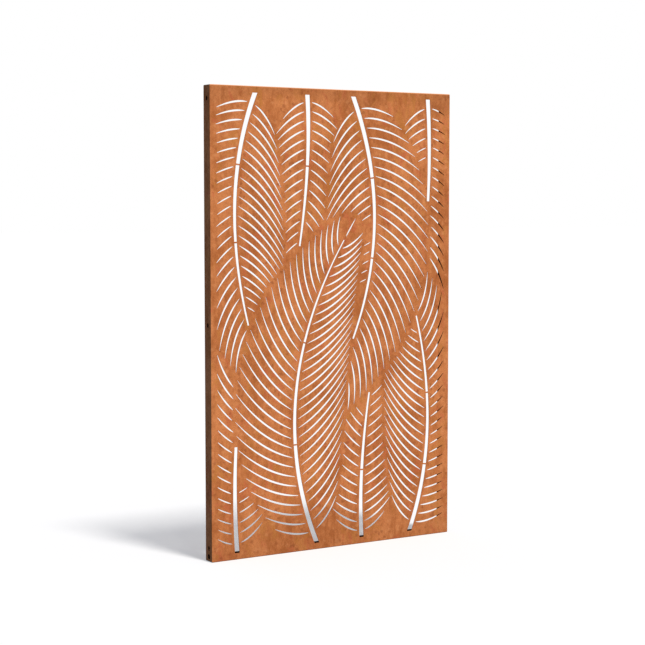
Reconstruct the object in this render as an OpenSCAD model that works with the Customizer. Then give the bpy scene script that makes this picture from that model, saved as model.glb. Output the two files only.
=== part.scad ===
// Garden screen of weathering steel: a laser cut face sheet, studded to a
// frame of four mitred edge channels with riveted corner plates.
// The face looks along -Y, Z is up, and the screen stands on Z = 0.

/* [Panel] */
// Width of the screen
panel_w = 1100; // [900:10:1300]
// Height of the screen
panel_h = 1800; // [1500:10:2100]
// Depth of the screen, from its face to the back lips
panel_d = 50; // [44:1:70]
// Radius of the screen's four corners, seen from the front
corner_r = 4; // [1:0.5:8]

/* [Face sheet] */
// Thickness of the face sheet
face_t = 2; // [1.5:0.5:3]
// Width of the plain border around the cut pattern
border_w = 25; // [24:1:60]

/* [Edge channels] */
// Thickness of the channels' steel
channel_t = 3; // [2:0.5:4]
// Width of the channels' front and back lips, over the web
lip_w = 20; // [18:1:23]
// Gap left between two channels at a mitre
mitre_gap = 0.3; // [0.2:0.1:1]

/* [Side fixings] */
// Width of the bolt slots in the side webs
bolt_slot_w = 12; // [8:1:16]
// Length of the bolt slots, end to end
bolt_slot_l = 18; // [17:1:30]
// Distance of the end bolt slots from the top and the bottom
bolt_slot_end = 50; // [45:1:120]
// Diameter of the anchor hole near the foot of each side web
anchor_d = 20; // [12:1:24]
// Height of the anchor hole's centre
anchor_z = 19; // [17:1:25]

/* [Drain holes] */
// Diameter of the drain holes in the bottom web
drain_d = 8; // [5:1:12]
// Number of drain holes
drain_count = 5; // [2:1:9]
// Distance of the outer drain holes from the sides
drain_end = 80; // [60:1:200]

/* [Weld studs] */
// Diameter of the weld studs
stud_d = 5; // [4:0.5:6]
// Length of the weld studs
stud_l = 12; // [10:1:20]
// Number of studs along each side channel
side_stud_count = 7; // [4:1:10]
// Number of studs along the top and the bottom channel
edge_stud_count = 4; // [3:1:7]
// Distance of the end studs from the screen's corners
stud_end = 125; // [105:1:200]
// Clearance around a stud in its lip hole, on the radius
stud_clear = 0.5; // [0.2:0.1:1]
// Clearance around a stud in its washer, on the radius
washer_clear = 0.2; // [0.1:0.1:0.5]
// Clearance around a stud in its nut, on the radius
thread_clear = 0.1; // [0.05:0.05:0.2]
// Diameter of the washers
washer_d = 11; // [9:0.5:12]
// Thickness of the washers
washer_t = 1; // [0.5:0.1:1.6]
// Width of the nuts across their flats
nut_af = 8; // [8:0.5:10]
// Height of the nuts
nut_h = 4; // [3:0.5:6]

/* [Corner plates] */
// Thickness of the corner plates
plate_t = 2; // [1.5:0.5:4]
// Length of a corner plate's legs
plate_leg = 85; // [70:1:100]
// Gap between a corner plate and the webs, and between it and the lips' edges
plate_gap = 1; // [0.5:0.5:2]
// Diameter of the rivets
rivet_d = 4; // [3:0.5:5]
// Diameter of the rivets' countersunk heads
rivet_head_d = 7; // [6:0.5:8]
// Depth of the rivets' countersunk heads
rivet_head_h = 1.2; // [0.8:0.1:1.4]
// Diameter of the rivets' closed ends
rivet_tail_d = 6.5; // [6:0.5:8]
// Height of the rivets' closed ends
rivet_tail_h = 1.6; // [1:0.1:3]
// Distance of the outer rivet from the end of the plate's leg
rivet_end = 12; // [8:1:16]
// Distance between the two rivets of a leg
rivet_pitch = 36; // [25:1:40]

/* [Cut pattern] */
// Width of a frond's stem slot at its foot
stem_w = 20; // [10:1:24]
// Width of a frond's stem slot at its tip
stem_tip_w = 5; // [3:1:8]
// Distance between two leaflets along a stem
leaflet_pitch = 38; // [34:1:60]
// Greatest width of a leaflet's slot
leaflet_w = 7; // [4:0.5:9]
// Width of a leaflet's slot at its ends
leaflet_end_w = 1.5; // [1:0.1:2.5]
// Steel left between a stem's slot and its leaflets
stem_land = 9; // [7:1:14]
// Steel left around a frond that lies in front of another
frond_land = 14; // [10:1:30]
// Steel left across a stem's slot at each of its tabs
tab_w = 6; // [5:1:12]
// Greatest length of stem slot between two tabs
tab_pitch = 420; // [200:10:600]
// Shortest slot that is cut
slot_min = 30; // [25:1:80]

/* [Hidden] */
$fn = 48;

// Cut tools run this far past the faces that they cut
over = 1;

face_y = -panel_d / 2;
lip_y = face_y + face_t;
back_y = panel_d / 2;
web_w = back_y - lip_y;
nut_seat_y = lip_y + channel_t;

// Middle of the flat part of a lip, from the edge of the screen
lip_mid = (channel_t + lip_w) / 2;
plate_w = lip_w - channel_t - 2 * plate_gap;
plate_y = back_y - channel_t - plate_t;
plate_mid = channel_t + plate_gap + plate_w / 2;

bolt_slot_z = [bolt_slot_end, panel_h / 2, panel_h - bolt_slot_end];

field_min = [-panel_w / 2 + border_w, border_w];
field_max = [panel_w / 2 - border_w, panel_h - border_w];

steel_colour = [0.76, 0.46, 0.27];
shaded_colour = [0.40, 0.25, 0.17];
fixing_colour = [0.45, 0.43, 0.41];

// Stud places [x, z], along the middles of the four front lips
function spread(from, to, count) =
    [for (i = [0 : count - 1]) from + (to - from) * i / (count - 1)];
stud_places = [
    for (side = [-1, 1], z = spread(stud_end, panel_h - stud_end, side_stud_count))
        [side * (panel_w / 2 - lip_mid), z],
    for (z = [lip_mid, panel_h - lip_mid],
         x = spread(stud_end - panel_w / 2, panel_w / 2 - stud_end, edge_stud_count))
        [x, z]
];

// Rivet places [x, z] along both legs of a plate, from its corner of the screen
rivet_far = channel_t + plate_gap + plate_leg - rivet_end;
rivet_corner = [
    for (along = [rivet_far - rivet_pitch, rivet_far], swap = [false, true])
        swap ? [along, plate_mid] : [plate_mid, along]
];
rivet_places = [
    for (x_side = [-1, 1], z_side = [-1, 1], place = rivet_corner)
        [x_side * (panel_w / 2 - place[0]), panel_h / 2 + z_side * (panel_h / 2 - place[1])]
];

// ---- The pattern: fronds whose stem and leaflets are slots ----

// Fronds of the lower half, the front one first: foot, bend and tip of the stem
// as shares of the field's width and height, and the longest leaflet's length
frond_plan = [
    [[0.42, 0.00], [0.18, 0.34], [0.54, 0.68], 330],
    [[0.84, 0.00], [1.02, 0.26], [0.82, 0.60], 300],
    [[0.08, 0.00], [0.05, 0.24], [0.13, 0.48], 260],
    [[0.62, 0.00], [0.60, 0.18], [0.68, 0.42], 250]
];
frond_size = field_max - field_min;
function in_field(share) = field_min + [share[0] * frond_size[0], share[1] * frond_size[1]];
// Each frond is followed by its copy, half a turn around the field's middle
fronds = [
    for (f = frond_plan, opposite = [false, true])
        let (shares = [for (i = [0 : 2]) opposite ? [1, 1] - f[i] : f[i]])
        [in_field(shares[0]), in_field(shares[1]), in_field(shares[2]), f[3]]
];

// Share of a stem that is bare at its foot
stem_bare = 0.04;
// Angle of a leaflet to the stem, at the foot and at the tip of the stem
leaflet_angle = [62, 28];
// Angle by which a leaflet bends towards the tip of the stem
leaflet_bend = 16;
// Length of the shortest leaflets, as a share of the frond's longest
least_leaflet = 0.30;
// Length from which a leaflet's slot has its full width
full_width_from = 130;
// How full a swelling outline is, and how far its widest place lies before the middle
swell_power = 0.8;
// Places tried along a slot for what hides it
slot_tries = 36;
// Points along one side of a slot, and along one side of a whole frond
outline_points = 7;
silhouette_steps = 13;

function unit(v) = v / norm(v);
function turned(v, angle) =
    [v[0] * cos(angle) - v[1] * sin(angle), v[0] * sin(angle) + v[1] * cos(angle)];
function bezier(a, b, c, t) = (1 - t) * (1 - t) * a + 2 * t * (1 - t) * b + t * t * c;
function stem_at(f, t) = bezier(f[0], f[1], f[2], t);
function stem_way(f, t) = unit((1 - t) * (f[1] - f[0]) + t * (f[2] - f[1]));
function stem_length(f) =
    let (steps = 16)
    let (runs = [for (i = [1 : steps]) norm(stem_at(f, i / steps) - stem_at(f, (i - 1) / steps))])
    runs * [for (r = runs) 1];
function stem_half(t) = (stem_w + (stem_tip_w - stem_w) * t) / 2;

// Rises from 0 to 1 and falls back to 0 as t goes from 0 to 1
function swell(t) = pow(sin(180 * pow(t, swell_power)), swell_power);
function leaflet_length(f, t) = f[3] * (least_leaflet + (1 - least_leaflet) * swell(t));
function leaflet_lean(t) = leaflet_angle[0] + (leaflet_angle[1] - leaflet_angle[0]) * t;
// End of the leaflet at t, drawn longer by extra
function leaflet_tip(f, t, side, extra) =
    stem_at(f, t) + (leaflet_length(f, t) + extra) * turned(stem_way(f, t), side * leaflet_lean(t));
function leaflet_at(f, t, side, u) =
    let (way = stem_way(f, t))
    let (lean = leaflet_lean(t))
    let (root_gap = (stem_half(t) + stem_land) / sin(lean + leaflet_bend))
    let (root = stem_at(f, t) + root_gap * turned(way, side * (lean + leaflet_bend)))
    let (bend = stem_at(f, t) + 0.5 * leaflet_length(f, t) * turned(way, side * (lean + leaflet_bend)))
    bezier(root, bend, leaflet_tip(f, t, side, 0), u);

// Outline of a whole frond, grown by the land around it
function silhouette(f) =
    let (steps = spread(stem_bare, 1, silhouette_steps))
    [
        for (t = steps) leaflet_tip(f, t, -1, frond_land),
        leaflet_tip(f, 1, 0, frond_land),
        for (i = [silhouette_steps - 1 : -1 : 0]) leaflet_tip(f, steps[i], 1, frond_land),
        for (u = [1, 0.5]) under_leaflet(f, 1, u),
        for (t = [stem_bare / 2, 0]) stem_side(f, t, 1),
        for (t = [0, stem_bare / 2]) stem_side(f, t, -1),
        for (u = [0.5, 1]) under_leaflet(f, -1, u)
    ];
// Point below the lowest leaflet, u being the way along it
function under_leaflet(f, side, u) =
    leaflet_at(f, stem_bare, side, u) - frond_land * stem_way(f, stem_bare);
function stem_side(f, t, side) =
    stem_at(f, t) + side * (stem_half(t) + frond_land) * turned(stem_way(f, t), 90);
function inside(p, loop) =
    len([
        for (i = [0 : len(loop) - 1])
            let (a = loop[i], b = loop[(i + 1) % len(loop)])
            if ((a[1] > p[1]) != (b[1] > p[1])
                && p[0] < a[0] + (b[0] - a[0]) * (p[1] - a[1]) / (b[1] - a[1])) 1
    ]) % 2 == 1;
function shown(p, covers) =
    p[0] >= field_min[0] && p[0] <= field_max[0] && p[1] >= field_min[1] && p[1] <= field_max[1]
    && len([for (loop = covers) if (inside(p, loop)) 1]) == 0;

// Stretches [from, to] of a line of points that nothing hides
function runs(points, covers) =
    let (seen = [for (p = points) shown(p, covers)])
    let (last = len(points) - 1)
    let (starts = [for (i = [0 : last]) if (seen[i] && (i == 0 || !seen[i - 1])) i])
    let (ends = [for (i = [0 : last]) if (seen[i] && (i == last || !seen[i + 1])) i])
    [for (i = [0 : 1 : len(starts) - 1]) [starts[i], ends[i]] / last];

// Half width of a leaflet's slot, v being the way along it
function leaflet_half(v, length) =
    let (full = leaflet_w * min(1, sqrt(length / full_width_from)))
    (leaflet_end_w + (full - leaflet_end_w) * swell(v)) / 2;

// Outline from a centre line and its half widths
function slot_outline(line, halves) =
    let (last = len(line) - 1)
    let (normals = [
        for (i = [0 : last])
            turned(unit(line[min(i + 1, last)] - line[max(i - 1, 0)]), 90)
    ])
    [
        for (i = [0 : last]) line[i] + halves[i] * normals[i],
        for (i = [last : -1 : 0]) line[i] - halves[i] * normals[i]
    ];

// A stem that starts at its foot is cut off level with the field's edge there
function stem_outline(f, steps) =
    let (loop = slot_outline([for (t = steps) stem_at(f, t)], [for (t = steps) stem_half(t)]))
    let (way = stem_way(f, 0), last = len(loop) - 1)
    [
        for (i = [0 : last])
            steps[0] == 0 && (i == 0 || i == last)
                ? loop[i] + way * (f[0][1] - loop[i][1]) / way[1]
                : loop[i]
    ];

module leaflet_slots(f, covers) {
    count = floor(stem_length(f) * (1 - stem_bare) / leaflet_pitch);
    pairs = [
        for (i = [0 : count - 1], side = [-1, 1])
            [stem_bare + (1 - stem_bare) * i / count, side]
    ];
    // The last leaflet runs straight on from the stem's tip
    for (place = concat(pairs, [[1, 0]])) {
        t = place[0];
        side = place[1];
        tried = [for (k = [0 : slot_tries]) leaflet_at(f, t, side, k / slot_tries)];
        for (r = runs(tried, covers)) {
            line = [for (u = spread(r[0], r[1], outline_points)) leaflet_at(f, t, side, u)];
            length = norm(line[outline_points - 1] - line[0]);
            halves = [for (v = spread(0, 1, outline_points)) leaflet_half(v, length)];
            if (length >= slot_min)
                polygon(slot_outline(line, halves));
        }
    }
}

module stem_slots(f, covers) {
    length = stem_length(f);
    tries = 4 * slot_tries;
    tried = [for (k = [0 : tries]) stem_at(f, k / tries)];
    for (r = runs(tried, covers)) {
        count = max(1, ceil((r[1] - r[0]) * length / tab_pitch));
        cuts = spread(r[0], r[1], count + 1);
        tab = tab_w / length / 2;
        for (i = [0 : count - 1]) {
            from = cuts[i] + (i == 0 ? 0 : tab);
            to = cuts[i + 1] - (i == count - 1 ? 0 : tab);
            if ((to - from) * length >= slot_min)
                polygon(stem_outline(f, spread(from, to, outline_points)));
        }
    }
}

module cut_pattern() {
    covers = [for (f = fronds) silhouette(f)];
    for (i = [0 : len(fronds) - 1]) {
        front = [for (j = [0 : 1 : i - 1]) covers[j]];
        stem_slots(fronds[i], front);
        leaflet_slots(fronds[i], front);
    }
}

// ---- The pieces ----

// A flat outline in X and Z, made solid from one depth to another
module slab(y_from, y_to) {
    translate([0, y_to, 0])
        rotate([90, 0, 0])
            linear_extrude(y_to - y_from)
                children();
}

// A round bar along Y, at [x, z]
module bar(place, y_from, y_to, diameter) {
    slab(y_from, y_to)
        translate(place)
            circle(diameter / 2);
}

module panel_outline() {
    translate([-panel_w / 2, corner_r])
        square([panel_w, panel_h - 2 * corner_r]);
    translate([-panel_w / 2 + corner_r, 0])
        square([panel_w - 2 * corner_r, panel_h]);
    for (x = [-1, 1], z = [corner_r, panel_h - corner_r])
        translate([x * (panel_w / 2 - corner_r), z])
            circle(corner_r);
}

module face_sheet() {
    color(steel_colour)
        slab(face_y, lip_y)
            difference() {
                panel_outline();
                cut_pattern();
            }
}

// A length of channel along Z with its web on X = 0 and its lips towards +X,
// mitred at both ends
module channel_blank(run) {
    gap = mitre_gap / sqrt(2);
    intersection() {
        translate([0, 0, -run / 2])
            linear_extrude(run)
                difference() {
                    translate([0, lip_y])
                        square([lip_w, web_w]);
                    translate([channel_t, lip_y + channel_t])
                        square([lip_w, web_w - 2 * channel_t]);
                }
        slab(lip_y - over, back_y + over)
            polygon([
                [0, gap - run / 2], [0, run / 2 - gap],
                [lip_w, run / 2 - gap - lip_w], [lip_w, gap + lip_w - run / 2]
            ]);
    }
}

module stud_holes() {
    for (place = stud_places)
        bar(place, lip_y - over, nut_seat_y + over, stud_d + 2 * stud_clear);
}

module rivet_holes() {
    for (place = rivet_places) {
        bar(place, plate_y - over, back_y, rivet_d);
        countersink(place, over);
    }
}

// The countersunk head's cone at [x, z], its wide end drawn out by extra
module countersink(place, extra) {
    slope = (rivet_head_d - rivet_d) / 2 / rivet_head_h;
    translate([place[0], back_y + extra, place[1]])
        rotate([90, 0, 0])
            cylinder(
                h = rivet_head_h + extra,
                r1 = rivet_head_d / 2 + extra * slope,
                r2 = rivet_d / 2
            );
}

// The vertical slot at height z, cut through the left web
module bolt_slot(z) {
    reach = (bolt_slot_l - bolt_slot_w) / 2;
    translate([-panel_w / 2 - over, 0, z])
        rotate([0, 90, 0])
            linear_extrude(channel_t + 2 * over) {
                square([2 * reach, bolt_slot_w], center = true);
                for (side = [-1, 1])
                    translate([side * reach, 0])
                        circle(bolt_slot_w / 2);
            }
}

module anchor_hole() {
    translate([-panel_w / 2 - over, 0, anchor_z])
        rotate([0, 90, 0])
            cylinder(h = channel_t + 2 * over, r = anchor_d / 2);
}

module drain_holes() {
    for (x = spread(drain_end - panel_w / 2, panel_w / 2 - drain_end, drain_count))
        translate([x, 0, -over])
            cylinder(h = channel_t + 2 * over, r = drain_d / 2);
}

// What every channel has: the panel's rounded corners and the fixing holes
module drilled_channel() {
    difference() {
        intersection() {
            children();
            slab(lip_y, back_y) panel_outline();
        }
        stud_holes();
        rivet_holes();
    }
}

module side_channel() {
    difference() {
        drilled_channel()
            translate([-panel_w / 2, 0, panel_h / 2])
                channel_blank(panel_h);
        for (z = bolt_slot_z) bolt_slot(z);
        anchor_hole();
    }
}

module left_channel() {
    color(shaded_colour) side_channel();
}

module right_channel() {
    color(shaded_colour) mirror([1, 0, 0]) side_channel();
}

module top_channel() {
    color(shaded_colour)
        drilled_channel()
            translate([0, 0, panel_h])
                rotate([0, 90, 0])
                    channel_blank(panel_w);
}

module bottom_channel() {
    color(shaded_colour)
        difference() {
            drilled_channel()
                rotate([0, -90, 0])
                    channel_blank(panel_w);
            drain_holes();
        }
}

// An L shaped plate behind the back lips. It is drawn for the bottom left
// corner and turned over for the others: x_side and z_side are -1 or 1
module corner_plate(x_side, z_side) {
    color(steel_colour)
        translate([0, 0, panel_h / 2])
            mirror([x_side > 0 ? 1 : 0, 0, 0])
                mirror([0, 0, z_side > 0 ? 1 : 0])
                    difference() {
                        slab(plate_y, plate_y + plate_t)
                            translate([-panel_w / 2, -panel_h / 2])
                                plate_outline();
                        for (place = rivet_corner)
                            bar(place - [panel_w, panel_h] / 2,
                                plate_y - over, plate_y + plate_t + over, rivet_d);
                    }
}

module plate_outline() {
    start = channel_t + plate_gap;
    translate([start, start]) {
        square([plate_w, plate_leg]);
        square([plate_leg, plate_w]);
    }
}

module corner_rivets() {
    color(fixing_colour)
        for (place = rivet_places) {
            bar(place, plate_y, back_y, rivet_d);
            countersink(place, 0);
            bar(place, plate_y - rivet_tail_h, plate_y, rivet_tail_d);
        }
}

module face_studs() {
    color(fixing_colour)
        for (place = stud_places)
            bar(place, lip_y, lip_y + stud_l, stud_d);
}

module stud_washers() {
    color(fixing_colour)
        for (place = stud_places)
            difference() {
                bar(place, nut_seat_y, nut_seat_y + washer_t, washer_d);
                bar(place, nut_seat_y - over, nut_seat_y + washer_t + over, stud_d + 2 * washer_clear);
            }
}

module stud_nuts() {
    seat = nut_seat_y + washer_t;
    color(fixing_colour)
        for (place = stud_places)
            difference() {
                slab(seat, seat + nut_h)
                    translate(place)
                        circle(nut_af / sqrt(3), $fn = 6);
                bar(place, seat - over, seat + nut_h + over, stud_d + 2 * thread_clear);
            }
}

face_sheet();
left_channel();
right_channel();
top_channel();
bottom_channel();
corner_plate(-1, 1);  // corner_plate_top_left
corner_plate(1, 1);  // corner_plate_top_right
corner_plate(-1, -1);  // corner_plate_bottom_left
corner_plate(1, -1);  // corner_plate_bottom_right
corner_rivets();
face_studs();
stud_washers();
stud_nuts();
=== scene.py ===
import math
from functools import reduce

import bmesh
import bpy
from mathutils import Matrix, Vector
from mathutils.geometry import delaunay_2d_cdt


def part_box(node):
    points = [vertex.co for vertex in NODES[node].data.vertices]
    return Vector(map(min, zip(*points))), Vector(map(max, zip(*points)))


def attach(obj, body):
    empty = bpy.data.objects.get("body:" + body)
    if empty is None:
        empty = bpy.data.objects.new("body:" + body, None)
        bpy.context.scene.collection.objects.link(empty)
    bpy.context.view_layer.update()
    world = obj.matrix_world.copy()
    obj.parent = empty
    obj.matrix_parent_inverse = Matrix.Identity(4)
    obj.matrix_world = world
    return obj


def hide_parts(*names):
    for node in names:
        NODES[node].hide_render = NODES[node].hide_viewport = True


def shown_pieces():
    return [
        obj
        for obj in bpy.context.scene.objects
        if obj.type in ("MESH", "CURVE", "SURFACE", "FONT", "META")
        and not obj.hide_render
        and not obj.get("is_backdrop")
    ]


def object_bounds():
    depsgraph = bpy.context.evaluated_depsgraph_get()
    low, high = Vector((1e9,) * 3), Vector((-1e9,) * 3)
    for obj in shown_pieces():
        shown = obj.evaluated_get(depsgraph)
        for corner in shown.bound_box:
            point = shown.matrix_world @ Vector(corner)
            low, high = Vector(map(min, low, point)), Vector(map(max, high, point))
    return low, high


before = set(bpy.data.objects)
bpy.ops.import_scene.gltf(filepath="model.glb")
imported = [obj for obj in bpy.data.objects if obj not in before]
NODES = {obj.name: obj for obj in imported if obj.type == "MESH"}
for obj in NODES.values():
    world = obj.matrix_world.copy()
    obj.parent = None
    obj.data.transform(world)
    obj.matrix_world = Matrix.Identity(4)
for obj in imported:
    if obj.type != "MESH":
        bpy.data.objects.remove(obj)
CAD_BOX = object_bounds()

bl_info = {
    "name": "Laser Cut Garden Screen",
    "version": (1, 0, 0),
    "blender": (4, 5, 0),
    "location": "3D Viewport > Sidebar > Screen",
    "description": "Finishes the pieces of a laser cut garden screen and sets up its studio",
    "category": "Object",
}

BODY = "root"
MM = 0.001

CHANNELS = ["left_channel", "right_channel", "top_channel", "bottom_channel"]
PLATES = [
    "corner_plate_top_left", "corner_plate_top_right",
    "corner_plate_bottom_left", "corner_plate_bottom_right",
]

# The screen's lowest and highest corner, and where its face, the sheet's back and its own back lie
LOW, HIGH = CAD_BOX
FACE_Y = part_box("face_sheet")[0].y
SHEET_BACK_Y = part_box("face_sheet")[1].y
BACK_Y = HIGH.y

# Thickness of the frame's steel, and how far its holes reach at most from the middle of its depth
FRAME_STEEL = 3 * MM
HOLE_REACH = 15 * MM

# What the meshes say of a place: worn edge that also takes a painted highlight, hollow whose sheltered
# patina takes painted shade, wall of a laser cut
MARKS = ("edge", "sheltered", "cut")
# How far the sheltered patina and painted shade reach on a face in the recess that looks back
HALF_HOLLOW_SHADE = 0.48

# The patina's colours, as its inputs name them. Each has a setting that ends in _rust
RUSTS = ("Light", "Dark", "Warm", "Ochre", "Speck", "Powder")
# The patina's gloss, and how far its bumps and those of the plating stand up
RUST_GLOSS = 0.12
RUST_BUMP = 0.4 * MM
PLATING_BUMP = 0.05 * MM
# How light each plated finish is beside the fixings' steel, and how much rust blooms on it
PLATINGS = {"Rivet steel": (0.55, 1.1), "Stud steel": (0.9, 0.8), "Dull zinc": (1.1, 0.35)}

# Azimuth, elevation and spread, in degrees, of the lamps that light the screen alone
FILL_LAMP = (12, 12, 40)
RIM_LAMP = (168, 25, 20)


# ---- Settings ----

def length_setting(name, description, default, least, most):
    """A length that can be set. Its default and its limits are given in millimetres."""
    return bpy.props.FloatProperty(
        name=name, description=description, default=default * MM, min=least * MM, max=most * MM,
        precision=5, unit="LENGTH")


def angle_setting(name, description, default, **limits):
    """An angle that can be set. Its default and its limits are given in degrees."""
    limits = {end: math.radians(value) for end, value in limits.items()}
    return bpy.props.FloatProperty(
        name=name, description=description, default=math.radians(default), subtype="ANGLE", **limits)


def colour_setting(name, description, default, most=1.0):
    """A colour that can be set."""
    return bpy.props.FloatVectorProperty(
        name=name, description=description, default=default, size=3, min=0.0, max=most,
        subtype="COLOR")


class SheetSettings(bpy.types.PropertyGroup):
    """Sizes of the cut face sheet's edges"""

    rim_radius: length_setting(
        "Rim radius", "Radius of the sheet's rounded outer edge at the front", 1.8, 0.1, 1.9)
    back_break: length_setting(
        "Back edge", "Width of the broken edge at the back of the sheet", 0.15, 0.02, 0.5)
    slot_break: length_setting(
        "Slot edge", "Radius of the slots' edges at the front", 0.25, 0.05, 0.6)
    slot_corner: length_setting(
        "Slot corner", "Radius that the cut leaves in a slot's corners", 0.6, 0.1, 1.5)
    # The pale band along the outer edge is partly wear and partly a painted highlight on the rim
    pale_rim_border: length_setting(
        "Worn border", "Width of the wear along the sheet's outer edge", 2, 0.5, 2.1)
    slot_border: length_setting(
        "Slot border", "Width of the wear along the slots' edges", 1.0, 0.2, 2)
    curve_steps: bpy.props.IntProperty(
        name="Curve steps", description="Points along a slot's side for each one that the solid has",
        default=3, min=1, max=4)


class FrameSettings(bpy.types.PropertyGroup):
    """Sizes of the folded channels and the corner plates"""

    front_bend: length_setting(
        "Front bend", "Outer radius of the channels' bend behind the sheet", 1.2, 0.3, 2.5)
    back_bend: length_setting(
        "Back bend", "Outer radius of the channels' bend at the back", 2.6, 0.3, 2.9)
    inner_bend: length_setting("Inner bend", "Inside radius of both bends", 0.9, 0.2, 2.0)
    edge_break: length_setting("Edge break", "Width of the broken cut edges", 0.25, 0.05, 0.5)


class FixingSettings(bpy.types.PropertyGroup):
    """Sizes of the studs, nuts, washers and rivets that the solids leave plain"""

    thread_pitch: length_setting(
        "Thread pitch", "Advance of the studs' thread in one turn", 0.8, 0.5, 1.25)
    thread_depth: length_setting("Thread depth", "Depth of the studs' thread", 0.4, 0.1, 0.6)
    flange_radius: length_setting(
        "Flange radius", "Radius of the welded foot of a stud", 2.85, 2.6, 2.95)
    nut_chamfer: angle_setting(
        "Nut chamfer", "Angle of the cone that cuts the nuts' corners", 30, min=15, max=40)
    greatest_spin: angle_setting(
        "Greatest spin", "How far a fixing may be turned about its own axis", 180, min=0, max=180)
    seed: bpy.props.IntProperty(
        name="Seed", description="Seed of the fixings' turns", default=7, min=0)


class FinishSettings(bpy.types.PropertyGroup):
    """Colours of the steel's rust patina and of the fixings, and the tones that paint shade on the frame
    and in its hollows
    """

    light_rust: colour_setting(
        "Light rust", "Colour of the patina where it is light", (0.640, 0.220, 0.072))
    dark_rust: colour_setting(
        "Dark rust", "Colour of the patina where it is dark", (0.425, 0.124, 0.033))
    warm_rust: colour_setting("Warm rust", "Colour of the redder patches", (0.545, 0.132, 0.050))
    ochre_rust: colour_setting("Ochre rust", "Colour of the yellower patches", (0.52, 0.188, 0.040))
    speck_rust: colour_setting("Specks", "Colour of the pits and dark specks", (0.27, 0.070, 0.020))
    # Powder also colours the pale edges and the top rim, which are partly wear and partly painted
    # highlight
    powder_rust: colour_setting(
        "Powder", "Colour of the pale powdery spots and of worn edges", (0.80, 0.33, 0.13))
    # Painted shade and sheen: the frame takes the face's patina in a darker, greyer and bluer tone,
    # which stands for the shade and the grey sheen on the screen's side
    frame_shade_tone: colour_setting(
        "Frame tone", "Tone of the frame beside that of the face", (0.60, 0.785, 1.12), most=1.5)
    # Partly painted shade: the dark tone of the hollows and the holes' walls stands for the shade in
    # them as well as for their sheltered patina
    sheltered: colour_setting(
        "Sheltered tone", "Tone of the patina that rain doesn't reach", (0.15, 0.12, 0.11))
    steel: colour_setting("Fixing steel", "Colour of the plated fixings", (0.50, 0.48, 0.45))


class StageSettings(bpy.types.PropertyGroup):
    """The camera, the lamps and the floor"""

    camera_place: bpy.props.FloatVectorProperty(
        name="Camera place", description="Where the camera stands",
        default=(-3.377, -5.399, 1.366), size=3, subtype="TRANSLATION", unit="LENGTH")
    camera_azimuth: angle_setting("Camera azimuth", "Turn of the view to the right of +Y", 31.697)
    camera_pitch: angle_setting("Camera pitch", "How far the view looks down", 4.272)
    lens: bpy.props.FloatProperty(
        name="Lens", description="Focal length on a sensor 36 mm wide",
        default=90.47, min=10.0, unit="CAMERA")
    key_azimuth: angle_setting(
        "Key azimuth", "Where the key lamp stands, to the right of the front", 10.7)
    key_elevation: angle_setting("Key elevation", "Height of the key lamp over the horizon", 66)
    key_spread: angle_setting(
        "Key spread", "Angle that each half of the key lamp covers, for soft shadows", 8)
    key_rise: angle_setting(
        "Key rise", "Angle between the lower and the upper half of the tall key lamp", 7)
    key_strength: bpy.props.FloatProperty(
        name="Key strength", description="Irradiance of the key lamp", default=2.5, min=0.0)
    fill_strength: bpy.props.FloatProperty(
        name="Fill strength", description="Irradiance of the soft lamp on the face",
        default=1.6, min=0.0)
    rim_strength: bpy.props.FloatProperty(
        name="Rim strength", description="Irradiance of the lamp behind the right edge",
        default=1.3, min=0.0)
    ambient: colour_setting(
        "Ambient", "Colour and brightness of the room for diffuse light", (0.266, 0.298, 0.357))
    floor_shadow: bpy.props.FloatProperty(
        name="Floor shading", description="Share of the floor's white that a shadow takes",
        default=0.69, min=0.0, max=1.0, subtype="FACTOR")


SETTINGS = {
    "screen_sheet": SheetSettings,
    "screen_frame": FrameSettings,
    "screen_fixings": FixingSettings,
    "screen_finish": FinishSettings,
    "screen_stage": StageSettings,
}


# ---- Nodes ----

def add_node(tree, kind, inputs=None, **settings):
    """A new node with its settings, and a value or a link on each input that is named.

    A socket is linked to the input, and so is the first output of a node.
    """
    node = tree.nodes.new(kind)
    for name, value in settings.items():
        setattr(node, name, value)
    for name, value in (inputs or {}).items():
        if isinstance(value, bpy.types.Node):
            value = value.outputs[0]
        if isinstance(value, bpy.types.NodeSocket):
            tree.links.new(value, node.inputs[name])
        else:
            node.inputs[name].default_value = value
    return node


def new_group(name, inputs, outputs, kind="ShaderNodeTree"):
    """A node group. Returns it with the sockets that give its inputs.

    Inputs and outputs are the sockets' names, listed by what they carry.
    """
    group = bpy.data.node_groups.new(name, kind)
    for in_out, sockets in (("INPUT", inputs), ("OUTPUT", outputs)):
        for carried, labels in sockets.items():
            for label in labels:
                group.interface.new_socket(label, in_out=in_out, socket_type="NodeSocket" + carried)
    return group, group.nodes.new("NodeGroupInput").outputs


def maths(tree, operation, *values, clamp=False):
    """The result of a Math node on values or sockets."""
    node = add_node(tree, "ShaderNodeMath", dict(enumerate(values)),
                    operation=operation, use_clamp=clamp)
    return node.outputs[0]


def product(tree, *factors):
    """All the factors multiplied."""
    return reduce(lambda so_far, factor: maths(tree, "MULTIPLY", so_far, factor), factors)


def weighted_sum(tree, *terms):
    """The sum of terms that are pairs of a value and its weight."""
    return reduce(lambda so_far, term: maths(tree, "MULTIPLY_ADD", *term, so_far), terms, 0.0)


def noise(tree, place, scale, detail=2.0, roughness=0.5, distortion=0.0):
    """Soft noise from 0 to 1. Its scale is in waves to the metre."""
    node = add_node(tree, "ShaderNodeTexNoise", {
        "Vector": place, "Scale": scale, "Detail": detail, "Roughness": roughness,
        "Distortion": distortion})
    return node.outputs["Fac"]


def stretched(tree, place, scale):
    """A place scaled by a different amount along each axis."""
    return add_node(tree, "ShaderNodeMapping", {"Vector": place, "Scale": scale}).outputs[0]


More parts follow.
